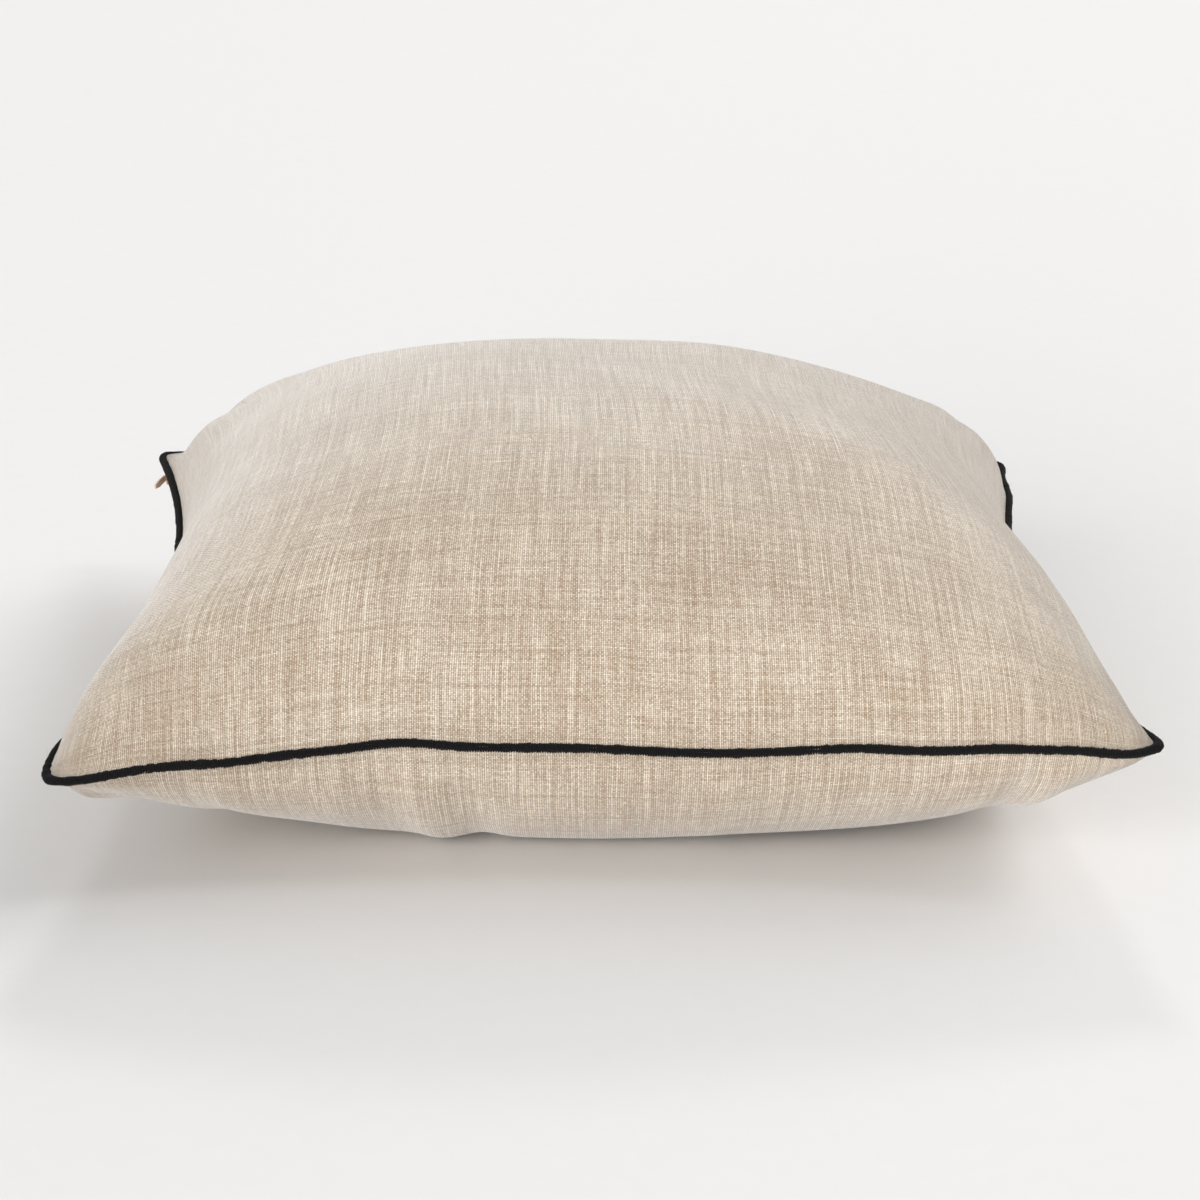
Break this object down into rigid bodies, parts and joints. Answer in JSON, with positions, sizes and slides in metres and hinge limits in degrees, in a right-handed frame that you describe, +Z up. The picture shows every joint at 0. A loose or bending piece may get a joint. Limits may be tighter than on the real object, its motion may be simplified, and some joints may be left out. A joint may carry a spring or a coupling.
{
  "type": "floor cushion",
  "caption": "Square knife-edge floor cushion with a linen cover, black overcast yarn edging, a concealed side zip and a separate stuffed insert.",
  "frame": {"origin": "bottom centre, on the floor", "axes": "+Z up, +X to the right and +Y to the back, seen from the front; the zip is on the left side (-X)"},
  "size_m": [0.5704, 0.5684, 0.2222],
  "materials": {
    "linen": "natural plain-weave linen, matte",
    "edging_yarn": "black overcast yarn, matte",
    "zip_tape": "woven polyester tape",
    "zip_coil": "satin nylon",
    "zip_metal": "lacquered, satin",
    "zip_pull": "enamelled tan, satin",
    "thread": "spun sewing thread",
    "casing": "plain white cotton",
    "filling": "loose fibre"
  },
  "bodies": {
    "cushion": {"cover_top_panel": "linen", "cover_bottom_panel": "linen", "edging_front": "edging_yarn", "edging_right": "edging_yarn", "edging_back": "edging_yarn", "edging_left": "edging_yarn", "zip_tape_upper": "zip_tape", "zip_tape_lower": "zip_tape", "zip_coil_upper": "zip_coil", "zip_coil_lower": "zip_coil", "zip_top_stops": "zip_metal", "zip_bottom_stop": "zip_metal", "zip_stitching": "thread", "insert_casing_top": "casing", "insert_casing_bottom": "casing", "insert_filling": "filling"},
    "slider": {"zip_slider": "zip_metal"},
    "pull": {"zip_pull_tab": "zip_pull"}
  },
  "joints": [
    {"name": "zip_travel", "type": "hinge", "parent": "cushion", "child": "slider", "pos_m": [-1.34853, 0, 0.071], "axis": [0, 0, -1], "range_deg": [0, 26.2]},
    {"name": "pull_swing", "type": "hinge", "parent": "slider", "child": "pull", "pos_m": [-0.27822, 0.24981, 0.071], "axis": [0, 0, -1], "range_deg": [-24, 150]}
  ]
}
